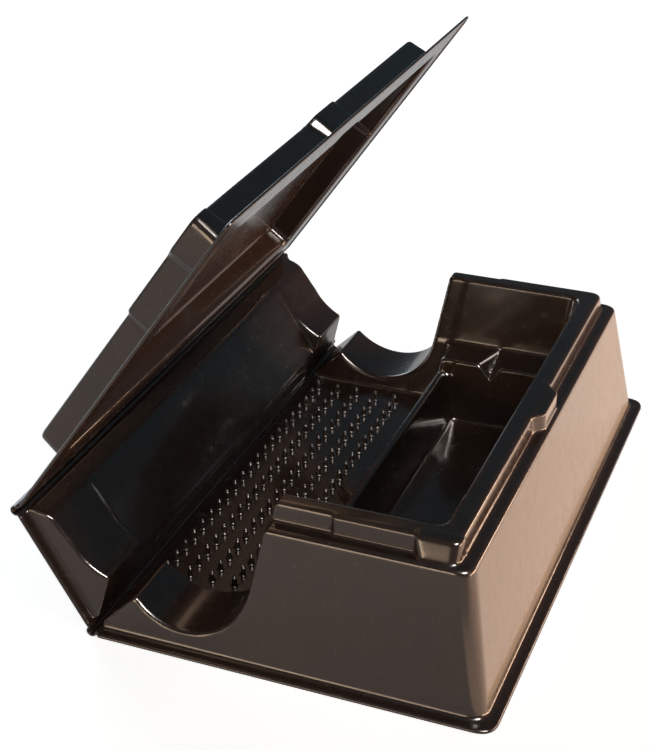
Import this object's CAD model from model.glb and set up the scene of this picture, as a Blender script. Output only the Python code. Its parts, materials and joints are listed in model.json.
import json
import math

import bmesh
import bpy
import numpy as np
from mathutils import Matrix, Vector

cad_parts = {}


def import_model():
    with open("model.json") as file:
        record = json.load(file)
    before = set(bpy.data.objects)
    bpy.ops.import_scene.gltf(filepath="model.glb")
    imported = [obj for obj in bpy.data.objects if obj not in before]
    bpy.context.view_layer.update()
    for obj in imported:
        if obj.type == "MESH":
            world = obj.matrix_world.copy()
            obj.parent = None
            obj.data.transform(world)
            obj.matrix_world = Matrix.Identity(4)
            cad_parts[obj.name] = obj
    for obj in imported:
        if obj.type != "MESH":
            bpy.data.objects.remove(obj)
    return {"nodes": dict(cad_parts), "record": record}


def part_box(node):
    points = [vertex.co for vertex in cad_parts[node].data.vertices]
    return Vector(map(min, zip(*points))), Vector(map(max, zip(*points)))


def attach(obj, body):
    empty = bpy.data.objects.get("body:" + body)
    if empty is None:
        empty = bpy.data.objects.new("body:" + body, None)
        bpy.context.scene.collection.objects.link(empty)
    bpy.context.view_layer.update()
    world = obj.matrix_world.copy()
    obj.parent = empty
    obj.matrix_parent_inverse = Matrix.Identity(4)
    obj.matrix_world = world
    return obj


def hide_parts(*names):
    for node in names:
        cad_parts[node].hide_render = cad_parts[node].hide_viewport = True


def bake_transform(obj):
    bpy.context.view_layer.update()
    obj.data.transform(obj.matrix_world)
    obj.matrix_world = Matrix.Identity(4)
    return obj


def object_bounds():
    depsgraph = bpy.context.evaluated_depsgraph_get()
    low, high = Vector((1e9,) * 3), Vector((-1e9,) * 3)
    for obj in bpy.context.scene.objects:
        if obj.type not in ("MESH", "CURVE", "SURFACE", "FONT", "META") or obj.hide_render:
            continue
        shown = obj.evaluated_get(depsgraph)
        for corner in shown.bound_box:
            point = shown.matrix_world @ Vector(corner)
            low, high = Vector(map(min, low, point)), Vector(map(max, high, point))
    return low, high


# The looks of the formed clamshell. Each of its three panels is one seamless sheet with soft
# formed edges. A panel is written as a field: a number for each point of space that is
# negative inside the form, built from leaning planes and cylinders that are blended where
# they meet. The field's zero surface is the skin of the sheet, and the sheet's thickness is
# added behind it.
#
# The forms are in millimetres and drawn closed, with the base hinge along X = 0 and Z up, as
# the part's own source draws them. base_place() and turned() take them to the rest pose, in
# metres.

MM = 0.001

# ---------- sheet and base ----------
SHEET = 1.5
WIDTH, DEPTH = 240.0, 390.0              # flange of the base
FLANGE, FLANGE_T = 7.0, 1.8
LEDGE_Z = 84.5                           # ledge that the lid closes over
WALL_LEAN = 15.0 / LEDGE_Z
CORNER_R = 10.0
LEDGE_IN = 22.9                          # foot of the outer wall to the rim
RIM_H, RIM_LEAN, RIM_TOP = 11.8, 0.11, 14.1
RIM_STEP, RIM_STEP_X = 1.5, 137.0        # the rim's arms are this much slimmer left of X
LUG_OUT, LUG_X0, LUG_Y = 5.2, 189.0, 20.0
LUG_RAMP = 0.45                          # the corner lug leans back this much for each mm of height
LUG_R, LUG_SOFT, LUG_ROOT = 6.0, 1.8, 8.0   # lugs: corner and edge blends, and how far in they start
INNER_LEAN = 0.1105                      # walls inside the rim
FLOOR_Z = 3.0
SHELF_Z, SHELF_Y, SHELF_LEAN = 48.8, 118.0, 0.05
PORT_X, PORT_Z, PORT_R, PORT_LEAN = 54.0, 51.6, 39.6, 0.18
PORT_SPREAD = 0.4                        # slope of the flare beside the port's wall
CREST_Z = 28.9                           # top of the port saddles beside the hinge
DIVIDER_X, DIVIDER_Z, DIVIDER_HALF, DIVIDER_LEAN = 109.0, 38.4, 2.5, 0.18
BOSS_R, BOSS_Z = 20.0, 13.0              # half-round step at the foot of the divider
OVER_HALF = 8.0                          # half the width of the open space over the divider
NOTCH_X, NOTCH_HALF, NOTCH_DEEP = 144.0, 9.0, 10.0
NOTCH_BACK, NOTCH_OVER = 4.0, 1.0        # the notch's cut runs past the shelf's edge and above it
PIN_COLUMNS, PIN_ROWS = 5, 21
PIN_X0, PIN_DX, PIN_DY, PIN_H = 13.6, 14.8, 12.36, 7.0
PIN_FOOT_R, PIN_TIP_R, PIN_SIDES = 2.1, 1.2, 14
PIN_FLARE = ((0.9, -0.1), (0.25, 0.12), (-0.1, 0.6))   # added to the foot's radius, at a height
PIN_STEM = (0.3, 0.6, 0.88)              # its rings, as shares of the height
PIN_TIP = (15, 40, 65, 88)               # its rings, in degrees round the tip

# ---------- hinges, side panel and lid ----------
HINGE_R, HINGE_GAP, MITRE_GAP = 3.2, 0.4, 0.4
WEB_T, WEB_LIP = 1.0, 1.6                # living hinge: thickness, and its lips in the two sheets
WEB_ARC, WEB_ROWS = 24, 40               # its divisions
BASE_WEB_START, LID_WEB_START = math.radians(-20), math.radians(-90)
BASE_WEB_END, LID_WEB_END = math.radians(-270), math.radians(-360)   # when closed
PANEL_L, PANEL_OPEN = 84.1, math.radians(30.4)
PAN_X, PAN_TOP = 12.0, 73.7              # depth of the pan, and its top crease
LID_L, LID_OPEN = 240.0, math.radians(24.2)
CAP_X0, CAP_X1, CAP_Y, CAP_H = 23.0, 214.0, 168.6, 19.2
CAP_LEAN, CAP_STEP = 0.09, 1.2
CAP_ROOM = 2.3                           # cap bulges past the rim lugs
RIM_RUN, CAP_RUN = 1.0, 1.5              # half the length over which the rim and cap steps rise

# ---------- edges, as the width over which two faces blend ----------
SOFT = 2.6
CRISP = 1.3
THIN = 0.8                               # edges of the lid
UPPER_R, LOWER_R = 8.0, 6.0              # corners of rim, basin and cap; of runway and pocket
BASE_PLATE_R, LID_PLATE_R = 12.0, 5.0    # corners of the two flanges

# ---------- samples ----------
STEP = 1.0                               # spacing of the field's samples
EDGE_ROOM = 0.5                          # samples start this far outside a sheet's open edge
SKIN_FACES = 85000                       # triangles kept in the largest skin

# ---------- worked out ----------
HALF = DEPTH / 2
FOOT_X, FOOT_Y = WIDTH - FLANGE, HALF - FLANGE
RIM_Z = LEDGE_Z + RIM_H
RIM_X, RIM_Y = FOOT_X - LEDGE_IN, FOOT_Y - LEDGE_IN
WELL_X, WELL_Y = RIM_X - RIM_TOP, RIM_Y - RIM_TOP
EDGE_R = HINGE_R + HINGE_GAP
LID_HINGE_Z = HINGE_R + PANEL_L
BASE_EDGE_X = HINGE_R - 0.2              # where the base's sheet starts, beside its hinge
LUG_X1 = RIM_X - 0.5                     # right side of the corner lug
HORN_X = PORT_X - 14.0                   # the panel's horns reach this far

# Where each field is sampled, as X and Z from and to. A sheet is open where it meets its box.
BOX_Y = HALF + 2.5
BASE_BOX = ((0.5, 0.0), (WIDTH + 1.5, RIM_Z + 1.5))
PANEL_BOX = ((-SHEET / 2, 5.5), (50.0, 85.5))
LID_BOX = ((2.0, LID_HINGE_Z - SHEET / 2), (LID_L + 1.5, LID_HINGE_Z + CAP_H + 1.5))

# CAD nodes that pieces other than the three sheets replace
NOT_IN_SHEETS = ("base_hinge_bead", "lid_hinge_bead", "runway_pins")

# ---------- camera ----------
AZIMUTH = math.radians(21.685)           # turned to the object's right from straight in front
ELEVATION = math.radians(28.177)
ROLL = math.radians(-0.229)
DISTANCE = 0.9456
TARGET = Vector((-0.00688, -0.05642, 0.11904))
LENS = 76.42                             # mm, on a 36 mm sensor along the frame's long side

# ---------- plastic ----------
BROWN = (0.056, 0.030, 0.019)
DARK_BROWN = (0.038, 0.0205, 0.0135)
ROUGHNESS = (0.17, 0.30)
CLOUD_SCALE, DUST_SCALE, GRAIN_SCALE = 9.0, 95.0, 420.0   # noise: tone and ripple, gloss, grain

# ---------- floor ----------
FLOOR_SIZE = 30.0
FLOOR_GLOW = (0.22, 0.82)                # as it lights the object, and as it is seen
CARD_X0, CARD_X1 = 0.137, 1.1            # card over the floor that the right wall reflects
CARD_Y, CARD_Z, CARD_DEEP = 0.35, 0.003, 1.5


# ---------- fields ----------
def most(a, b, blend=0.0):
    """Where both forms are, with the edge between them rounded over the blend width."""
    if blend == 0.0:
        return np.maximum(a, b)
    near = np.maximum(blend - np.abs(a - b), 0.0)
    return np.maximum(a, b) + near * near / (4.0 * blend)


def least(a, b, blend=0.0):
    """Where either form is, with the crease between them filled over the blend width."""
    return -most(-a, -b, blend)


def under(value, limit, slope=0.0, rise=0.0):
    """A plane: value stays under limit, which grows by slope for each unit of rise."""
    return (value - limit - slope * rise) / math.sqrt(1.0 + slope * slope)


def step_between(value, start, end):
    """0 up to start, 1 from end on, and a smooth rise between."""
    t = np.clip((value - start) / (end - start), 0.0, 1.0)
    return t * t * (3.0 - 2.0 * t)


def lugs(x, y, z, out, x1, y_half, top, ramp_slope):
    """The two snap lugs of the rim, or the cap's bulges over them: front corner and right side.
    The corner lug is a ramp, furthest out at the ledge."""
    across = np.abs(y)
    rise = np.maximum(z - LEDGE_Z, 0.0)
    corner = most(under(-y, RIM_Y + out, -ramp_slope, rise), under(x, x1), LUG_R)
    corner = most(corner, under(-x, out - LUG_X0, 1.0, RIM_Y + y), LUG_SOFT)
    corner = most(corner, under(-x, out - LUG_X0), LUG_SOFT)
    corner = most(corner, y + RIM_Y - LUG_ROOT)
    side = most(under(x, RIM_X + out), under(across, y_half, -1.0, x - RIM_X), LUG_SOFT)
    side = most(side, RIM_X - LUG_ROOT - x)
    return most(least(corner, side), z - top, LUG_SOFT)


def well_field(x, y, z):
    """All that is open inside the base."""
    across = np.abs(y)
    inner_y = under(across, WELL_Y - INNER_LEAN * RIM_Z, INNER_LEAN, z)
    inner_x = under(x, WELL_X - INNER_LEAN * RIM_Z, INNER_LEAN, z)
    basin = most(most(inner_x, inner_y, UPPER_R), SHELF_Z - z, SOFT)

    lean = math.sqrt(1.0 + PORT_LEAN ** 2)
    tangent_x = PORT_X + PORT_R / lean
    tangent_z = PORT_Z - PORT_R * PORT_LEAN / lean
    tube = np.sqrt((x - PORT_X) ** 2 + (z - PORT_Z) ** 2) - PORT_R
    flare = under(-z, -tangent_z, PORT_SPREAD, tangent_x - x)
    above = most(under(x, tangent_x, PORT_LEAN, z - tangent_z), flare)
    port = least(tube, most(above, CREST_Z - z))

    face_x = DIVIDER_X - DIVIDER_HALF
    runway = most(under(x, face_x, DIVIDER_LEAN, z - DIVIDER_Z), inner_y, LOWER_R)
    runway = most(runway, FLOOR_Z - z, SOFT)
    foot_x = face_x - DIVIDER_LEAN * (DIVIDER_Z - FLOOR_Z)
    boss = most(np.sqrt((x - foot_x) ** 2 + y ** 2) - BOSS_R, z - BOSS_Z, CRISP)
    runway = most(runway, -boss, CRISP)

    shelf_y = under(across, SHELF_Y, SHELF_LEAN, z - SHELF_Z)
    far_face = under(-x, -(DIVIDER_X + DIVIDER_HALF), DIVIDER_LEAN, z - DIVIDER_Z)
    pocket = most(most(far_face, inner_x, LOWER_R), shelf_y, LOWER_R)
    pocket = most(pocket, FLOOR_Z - z, SOFT)
    over = most(np.abs(x - DIVIDER_X) - OVER_HALF, most(shelf_y, DIVIDER_Z - z))

    run = WELL_Y - INNER_LEAN * (RIM_Z - SHELF_Z) - SHELF_Y
    bottom = SHELF_Z - NOTCH_DEEP + NOTCH_DEEP * (across - SHELF_Y) / run
    notch = under(np.abs(x - NOTCH_X) * NOTCH_DEEP / NOTCH_HALF, 0.0, 1.0, z - bottom)
    notch = most(notch, most(inner_y, most(SHELF_Y - NOTCH_BACK - across, z - SHELF_Z - NOTCH_OVER)))

    open_space = least(basin, port, SOFT)
    open_space = least(open_space, least(runway, least(pocket, over, SOFT), SOFT), SOFT)
    return least(open_space, notch, CRISP)


def base_field(x, y, z):
    across = np.abs(y)
    wall_x = under(x, FOOT_X, -WALL_LEAN, z)
    wall_y = under(across, FOOT_Y, -WALL_LEAN, z)
    outer = most(most(wall_x, wall_y, CORNER_R), z - LEDGE_Z, SOFT)

    rise = z - LEDGE_Z
    slim = RIM_STEP * (1.0 - step_between(x, RIM_STEP_X - RIM_RUN, RIM_STEP_X + RIM_RUN))
    rim = most(under(x, RIM_X, -RIM_LEAN, rise), under(across + slim, RIM_Y, -RIM_LEAN, rise), UPPER_R)
    rim = most(rim, z - RIM_Z, SOFT)
    lug = lugs(x, y, z, LUG_OUT, LUG_X1, LUG_Y, RIM_Z, LUG_RAMP)
    solid = least(rim, lug, CRISP)
    solid = least(outer, solid, CRISP)

    plate = most(most(x - WIDTH, across - HALF, BASE_PLATE_R), z - FLANGE_T, CRISP)
    solid = least(solid, plate, SOFT)
    solid = most(solid, BASE_EDGE_X - x, CRISP)
    solid = most(solid, (z - x - HINGE_R) / math.sqrt(2.0) + MITRE_GAP, CRISP)
    return most(solid, -well_field(x, y, z), SOFT)


def panel_field(x, y, z):
    across = np.abs(y)
    low, high = HINGE_R + EDGE_R, LID_HINGE_Z - EDGE_R
    bevel = (LID_HINGE_Z - PAN_TOP) / PAN_X
    top = least(z - PAN_TOP, under(z, LID_HINGE_Z, -bevel, x), CRISP)
    solid = most(top, (x - z + HINGE_R) / math.sqrt(2.0) + MITRE_GAP, CRISP)
    solid = most(solid, under(across, FOOT_Y, -WALL_LEAN, x), CRISP)
    lean = (PORT_X - PORT_R - PAN_X) / (PAN_TOP - PORT_Z)
    tube = np.sqrt((x - PORT_X) ** 2 + (z - PORT_Z) ** 2) - PORT_R
    beside = most(under(-x, PORT_R - PORT_X, lean, z - PORT_Z), PORT_Z - z)
    port = least(least(tube, beside), HORN_X - x)
    pan = most(under(across, WELL_Y - INNER_LEAN * RIM_Z, INNER_LEAN, x), PAN_X - x, SOFT)
    solid = most(solid, -least(port, pan, SOFT), SOFT)
    plate = most(x - SHEET / 2, across - HALF, CRISP)
    solid = least(solid, plate, CRISP)
    return most(solid, most(low - z, z - high), CRISP)


def lid_field(x, y, z):
    across = np.abs(y)
    z0 = LID_HINGE_Z
    slim = 1.0 - step_between(x, RIM_STEP_X - CAP_RUN, RIM_STEP_X + CAP_RUN)
    rise = z - z0
    cap = most(under(x, CAP_X1, -CAP_LEAN, rise), under(-x, -CAP_X0, -CAP_LEAN, rise), 1.0)
    cap = most(cap, under(across + RIM_STEP * slim, CAP_Y, -CAP_LEAN, rise), UPPER_R)
    cap = most(cap, rise + CAP_STEP * slim - CAP_H, SOFT)
    out = LUG_OUT + CAP_ROOM
    bulges = lugs(x, y, z, out, CAP_X1, LUG_Y + CAP_ROOM, z0 + CAP_H, CAP_LEAN)
    cap = least(cap, bulges, CRISP)
    plate = most(most(x - LID_L, across - HALF, LID_PLATE_R), rise - SHEET / 2, THIN)
    return most(least(cap, plate, SOFT), EDGE_R - x, THIN)


# ---------- from a field to a mesh ----------
def skin(field, low, high, step):
    """The zero surface of a field inside a box, open where it meets the box: one point in each
    cell that the surface crosses, and one face across each edge of the grid that it crosses."""
    steps = [np.arange(a, b + step, step, dtype=np.float32) for a, b in zip(low, high)]
    x, y, z = np.meshgrid(*steps, indexing="ij", sparse=True)
    values = field(x, y, z).astype(np.float32)
    cells = np.array(values.shape) - 1
    strides = np.array([cells[1] * cells[2], cells[2], 1])
    cell_ids, crossings, quads, flips = [], [], [], []
    for axis in range(3):
        first = np.moveaxis(values, axis, 0)[:-1]
        second = np.moveaxis(values, axis, 0)[1:]
        found = np.argwhere((first < 0) != (second < 0))
        a = first[tuple(found.T)]
        b = second[tuple(found.T)]
        corner = np.insert(found[:, 1:], axis, found[:, 0], axis=1)
        point = corner.astype(np.float64)
        point[:, axis] += a / (a - b)
        u, v = (axis + 1) % 3, (axis + 2) % 3
        around = []
        whole = np.ones(len(corner), bool)
        for du, dv in ((1, 1), (0, 1), (0, 0), (1, 0)):
            cell = corner.copy()
            cell[:, u] -= du
            cell[:, v] -= dv
            real = ((cell >= 0) & (cell < cells)).all(axis=1)
            ids = cell @ strides
            cell_ids.append(ids[real])
            crossings.append(point[real])
            around.append(ids)
            whole &= real
        quads.append(np.stack(around, axis=1)[whole])
        flips.append((a >= 0)[whole])
    names, index = np.unique(np.concatenate(cell_ids), return_inverse=True)
    crossings = np.concatenate(crossings)
    share = np.bincount(index)
    points = np.stack([np.bincount(index, crossings[:, i]) / share for i in range(3)], axis=1)
    faces = np.searchsorted(names, np.concatenate(quads))
    flips = np.concatenate(flips)
    faces[flips] = faces[flips][:, ::-1]
    return np.array(low) + points * step, faces


def mesh_object(name, points, faces, placed):
    mesh = bpy.data.meshes.new(name)
    mesh.from_pydata(points, [], faces)
    mesh.transform(placed)
    mesh.update()
    mesh.polygons.foreach_set("use_smooth", [True] * len(mesh.polygons))
    obj = bpy.data.objects.new(name, mesh)
    bpy.context.scene.collection.objects.link(obj)
    return obj


def apply_modifiers(obj):
    depsgraph = bpy.context.evaluated_depsgraph_get()
    mesh = bpy.data.meshes.new_from_object(obj.evaluated_get(depsgraph), depsgraph=depsgraph)
    obj.modifiers.clear()
    obj.data = mesh


def keep_inside(obj, box):
    """Holds every point inside the CAD box."""
    count = len(obj.data.vertices)
    points = np.empty(3 * count)
    obj.data.vertices.foreach_get("co", points)
    held = np.clip(points.reshape(count, 3), box[0], box[1])
    obj.data.vertices.foreach_set("co", held.ravel())
    obj.data.update()


def formed_sheet(name, field, sample_box, placed, cad_box):
    """One panel: the skin of its field, thinned out where it is flat, with the sheet behind it."""
    (low_x, low_z), (high_x, high_z) = sample_box
    low = np.array((low_x, -BOX_Y, low_z))
    high = (high_x, BOX_Y, high_z)
    points, faces = skin(field, low - EDGE_ROOM, high, STEP)
    obj = mesh_object(name, np.maximum(points, low).tolist(), faces.tolist(), placed)
    thin = obj.modifiers.new("thin", "DECIMATE")
    thin.ratio = min(1.0, SKIN_FACES / (2.0 * len(faces)))
    back = obj.modifiers.new("back", "SOLIDIFY")
    back.thickness = SHEET * MM
    back.offset = -1.0
    apply_modifiers(obj)
    keep_inside(obj, cad_box)
    return obj


def tube_faces(rings, sides):
    """Four-sided faces between closed rings of points."""
    return [(r * sides + i, r * sides + (i + 1) % sides,
             (r + 1) * sides + (i + 1) % sides, (r + 1) * sides + i)
            for r in range(rings - 1) for i in range(sides)]


def lathe_points(profile, sides):
    turns = [2.0 * math.pi * i / sides for i in range(sides)]
    return [(r * math.cos(t), r * math.sin(t), z) for r, z in profile for t in turns]


def pin_field(name, placed):
    """Rows of hollow-formed pins: a flared foot, a tapered stem and a rounded tip."""
    foot = [(PIN_FOOT_R + extra, height) for extra, height in PIN_FLARE]
    stem_r = foot[-1][0]
    stem = [(stem_r + (PIN_TIP_R - PIN_FOOT_R) * t, PIN_H * t) for t in PIN_STEM]
    cap = [(PIN_TIP_R * math.cos(a), PIN_H - PIN_TIP_R * (1.0 - math.sin(a)))
           for a in (math.radians(degrees) for degrees in PIN_TIP)]
    profile = foot + stem + cap
    one = lathe_points(profile, PIN_SIDES)
    rings = len(profile)
    ring_faces = tube_faces(rings, PIN_SIDES)
    tip = tuple((rings - 1) * PIN_SIDES + i for i in range(PIN_SIDES))
    points, faces = [], []
    middle = (PIN_ROWS - 1) / 2
    for column in range(PIN_COLUMNS):
        for row in range(PIN_ROWS):
            x, y = PIN_X0 + PIN_DX * column, PIN_DY * (row - middle)
            start = len(points)
            points += [(x + px, y + py, FLOOR_Z + pz) for px, py, pz in one]
            faces += [tuple(start + i for i in face) for face in ring_faces + [tip]]
    return mesh_object(name, points, faces, placed)


def hinge_web(name, z, start, end, placed):
    """The thinned strip at a fold: part of a tube about the hinge line at X = 0, from one angle to
    another, with a lip at each end that runs into the sheet it joins."""
    arc = [start + (end - start) * i / WEB_ARC for i in range(WEB_ARC + 1)]
    core, lip = HINGE_R - WEB_T, HINGE_R + WEB_LIP
    half = WEB_T / 2 / HINGE_R
    outer = [(HINGE_R, a) for a in arc[1:-1]]
    inner = [(core, a) for a in reversed(arc[1:-1])]
    far_lip = [(HINGE_R, end + half), (lip, end + half), (lip, end - half), (core, end - half)]
    near_lip = [(core, start + half), (lip, start + half), (lip, start - half), (HINGE_R, start - half)]
    loop = [(r * math.cos(a), z + r * math.sin(a)) for r, a in outer + far_lip + inner + near_lip]
    count = len(loop)
    rows = [HALF * t for t in np.linspace(-1.0, 1.0, WEB_ROWS)]
    points = [(px, y, pz) for y in rows for px, pz in loop]
    faces = tube_faces(WEB_ROWS, count)
    faces += [tuple(range(count)), tuple(range(len(points) - count, len(points)))]
    obj = mesh_object(name, points, faces, placed)
    mesh = bmesh.new()
    mesh.from_mesh(obj.data)
    bmesh.ops.recalc_face_normals(mesh, faces=mesh.faces)
    bmesh.ops.triangulate(mesh, faces=[face for face in mesh.faces if len(face.verts) > 4])
    mesh.to_mesh(obj.data)
    mesh.free()
    obj.data.set_sharp_from_angle(angle=math.radians(50.0))
    return obj


# ---------- places ----------
def base_place(frame_shift):
    return Matrix.Translation((frame_shift, 0.0, 0.0)) @ Matrix.Diagonal((MM, MM, MM, 1.0))


def turned(z, angle):
    """A turn about the line along Y at X = 0 and Z, in millimetres; positive opens to the left."""
    centre = Vector((0.0, 0.0, z))
    return Matrix.Translation(centre) @ Matrix.Rotation(-angle, 4, "Y") @ Matrix.Translation(-centre)


# ---------- material ----------
def node(tree, kind, **values):
    made = tree.nodes.new(kind)
    for name, value in values.items():
        setattr(made, name, value)
    return made


def set_inputs(made, **values):
    for name, value in values.items():
        made.inputs[name.replace("_", " ")].default_value = value


def ramp(tree, source, low, high, start=0.3, end=0.7):
    """A value that runs from low to high as source runs from start to end."""
    made = node(tree, "ShaderNodeMapRange")
    set_inputs(made, From_Min=start, From_Max=end, To_Min=low, To_Max=high)
    tree.links.new(source, made.inputs["Value"])
    return made.outputs["Result"]


def noise(tree, place, scale, detail, roughness=0.55):
    made = node(tree, "ShaderNodeTexNoise")
    set_inputs(made, Scale=scale, Detail=detail, Roughness=roughness)
    tree.links.new(place, made.inputs["Vector"])
    return made.outputs["Fac"]


def formed_plastic(name):
    """Glossy brown sheet: slow tone changes, an uneven gloss and the faint ripple of forming."""
    material = bpy.data.materials.new(name)
    material.use_nodes = True
    tree = material.node_tree
    tree.nodes.clear()
    output = node(tree, "ShaderNodeOutputMaterial")
    shader = node(tree, "ShaderNodeBsdfPrincipled")
    tree.links.new(shader.outputs["BSDF"], output.inputs["Surface"])
    set_inputs(shader, IOR=1.52, Coat_Weight=0.6, Coat_Roughness=0.10)

    place = node(tree, "ShaderNodeTexCoord").outputs["Object"]
    cloud = noise(tree, place, CLOUD_SCALE, 3.0)
    grain = noise(tree, place, GRAIN_SCALE, 3.0)
    dust = noise(tree, place, DUST_SCALE, 6.0, 0.7)

    tone = node(tree, "ShaderNodeMix", data_type="RGBA")
    tone.inputs["A"].default_value = (*DARK_BROWN, 1.0)
    tone.inputs["B"].default_value = (*BROWN, 1.0)
    tree.links.new(ramp(tree, cloud, 0.0, 1.0), tone.inputs["Factor"])
    tree.links.new(tone.outputs["Result"], shader.inputs["Base Color"])
    tree.links.new(ramp(tree, dust, *ROUGHNESS), shader.inputs["Roughness"])

    ripple = node(tree, "ShaderNodeBump")
    set_inputs(ripple, Strength=0.10, Distance=0.002)
    tree.links.new(cloud, ripple.inputs["Height"])
    fine = node(tree, "ShaderNodeBump")
    set_inputs(fine, Strength=0.02, Distance=0.0001)
    tree.links.new(grain, fine.inputs["Height"])
    tree.links.new(ripple.outputs["Normal"], fine.inputs["Normal"])
    tree.links.new(fine.outputs["Normal"], shader.inputs["Normal"])
    return material


def paint(obj, material):
    obj.data.materials.clear()
    obj.data.materials.append(material)


# ---------- studio ----------
def add_floor(low_z):
    half = FLOOR_SIZE / 2
    mesh = bpy.data.meshes.new("floor")
    corners = [(-half, -half, low_z), (half, -half, low_z), (half, half, low_z), (-half, half, low_z)]
    mesh.from_pydata(corners, [], [(0, 1, 2, 3)])
    floor = bpy.data.objects.new("floor", mesh)
    bpy.context.scene.collection.objects.link(floor)
    material = bpy.data.materials.new("pale_floor")
    material.use_nodes = True
    tree = material.node_tree
    shader = tree.nodes["Principled BSDF"]
    shader.inputs["Base Color"].default_value = (0.80, 0.80, 0.79, 1.0)
    shader.inputs["Roughness"].default_value = 0.9
    shader.inputs["Emission Color"].default_value = (1.0, 1.0, 0.99, 1.0)
    path = node(tree, "ShaderNodeLightPath")
    glow = ramp(tree, path.outputs["Is Camera Ray"], *FLOOR_GLOW, 0.0, 1.0)
    tree.links.new(glow, shader.inputs["Emission Strength"])
    paint(floor, material)


def add_area(name, place, target, size, power, colour, diffuse=True):
    """A soft light that the camera doesn't see. Without diffuse it shows only in reflections."""
    light = bpy.data.lights.new(name, "AREA")
    light.shape = "RECTANGLE"
    light.size, light.size_y = size
    light.energy = power
    light.color = colour
    obj = bpy.data.objects.new(name, light)
    obj.visible_camera = False
    obj.visible_diffuse = diffuse
    obj.location = place
    obj.rotation_euler = (Vector(target) - Vector(place)).to_track_quat("-Z", "Y").to_euler()
    bpy.context.scene.collection.objects.link(obj)


def add_lights():
    middle = (0.0, 0.0, 0.08)
    low = (0.1, 0.0, 0.04)
    add_area("key_right", (1.15, 0.35, 0.11), low, (1.5, 0.18), 15.0, (1.0, 0.66, 0.45))
    add_area("fill_front", (-0.6, -1.8, 0.25), low, (1.0, 0.4), 8.0, (1.0, 0.74, 0.52))
    add_area("top", (0.25, -0.5, 1.9), middle, (0.4, 0.4), 1.0, (0.90, 0.95, 1.0))
    add_area("sparkle", (0.9, -0.8, 1.5), middle, (0.6, 0.6), 75.0, (1.0, 0.88, 0.80), diffuse=False)
    add_area("back_left", (-1.3, 1.0, 0.7), middle, (1.0, 1.0), 10.0, (0.85, 0.93, 1.0))
    card = ((CARD_X0 + CARD_X1) / 2, CARD_Y, CARD_Z)
    above_card = (card[0], card[1], 1.0)
    card_size = (CARD_X1 - CARD_X0, CARD_DEEP)
    add_area("card_right", card, above_card, card_size, 4.4, (1.0, 0.63, 0.40), diffuse=False)


def add_world():
    """Pale where it is seen, and dimmer and cooler where it lights the object."""
    world = bpy.data.worlds.new("studio")
    world.use_nodes = True
    tree = world.node_tree
    tree.nodes.clear()
    output = node(tree, "ShaderNodeOutputWorld")
    seen = node(tree, "ShaderNodeBackground")
    set_inputs(seen, Color=(1.0, 1.0, 0.99, 1.0), Strength=1.0)
    lit = node(tree, "ShaderNodeBackground")
    set_inputs(lit, Color=(0.55, 0.82, 1.0, 1.0), Strength=0.09)
    path = node(tree, "ShaderNodeLightPath")
    mix = node(tree, "ShaderNodeMixShader")
    tree.links.new(path.outputs["Is Camera Ray"], mix.inputs["Fac"])
    tree.links.new(lit.outputs["Background"], mix.inputs[1])
    tree.links.new(seen.outputs["Background"], mix.inputs[2])
    tree.links.new(mix.outputs["Shader"], output.inputs["Surface"])
    bpy.context.scene.world = world


def add_camera():
    data = bpy.data.cameras.new("camera")
    data.sensor_width = 36.0
    data.lens = LENS
    camera = bpy.data.objects.new("camera", data)
    away = Vector((math.sin(AZIMUTH) * math.cos(ELEVATION), -math.cos(AZIMUTH) * math.cos(ELEVATION),
                   math.sin(ELEVATION)))
    turn = (-away).to_track_quat("-Z", "Y").to_matrix().to_4x4()
    camera.matrix_world = Matrix.Translation(TARGET + DISTANCE * away) @ turn @ Matrix.Rotation(ROLL, 4, "Z")
    bpy.context.scene.collection.objects.link(camera)
    bpy.context.scene.camera = camera


# ---------- pieces ----------
def add_sheet(body, field, sample_box, placed, plastic, cad_box, nodes):
    sheet = formed_sheet(body + "_sheet", field, sample_box, placed, cad_box)
    paint(sheet, plastic)
    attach(sheet, body)
    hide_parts(*[name for name in nodes if name not in NOT_IN_SHEETS])


def add_pins(placed, plastic):
    pins = pin_field("runway_pins_formed", placed)
    paint(pins, plastic)
    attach(pins, "base")
    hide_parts("runway_pins")


def add_web(name, bead, z, angles, placed, plastic, cad_box):
    web = hinge_web(name, z, *angles, placed)
    keep_inside(web, cad_box)
    paint(web, plastic)
    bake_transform(web)
    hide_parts(bead)


def add_pieces(frame, cad_box, plastic):
    closed = base_place(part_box("base_flange")[1].x - WIDTH * MM)
    panel_turn = closed @ turned(HINGE_R, PANEL_OPEN)
    lid_turn = panel_turn @ turned(LID_HINGE_Z, LID_OPEN)
    bodies = frame["record"]["behaviour"]["bodies"]
    sheets = (
        ("base", base_field, BASE_BOX, closed),
        ("side_panel", panel_field, PANEL_BOX, panel_turn),
        ("lid", lid_field, LID_BOX, lid_turn),
    )
    for body, field, sample_box, placed in sheets:
        add_sheet(body, field, sample_box, placed, plastic, cad_box, bodies[body])
    add_pins(closed, plastic)

    angles = (BASE_WEB_START, BASE_WEB_END + PANEL_OPEN)
    add_web("base_hinge_web", "base_hinge_bead", HINGE_R, angles, closed, plastic, cad_box)
    angles = (LID_WEB_START, LID_WEB_END + LID_OPEN)
    add_web("lid_hinge_web", "lid_hinge_bead", LID_HINGE_Z, angles, panel_turn, plastic, cad_box)


def main():
    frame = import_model()
    cad_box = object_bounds()
    plastic = formed_plastic("formed_plastic")
    for obj in frame["nodes"].values():
        paint(obj, plastic)
    add_pieces(frame, cad_box, plastic)
    add_floor(cad_box[0][2])
    add_world()
    add_lights()
    add_camera()
    bpy.context.scene.view_settings.view_transform = "Standard"


main()
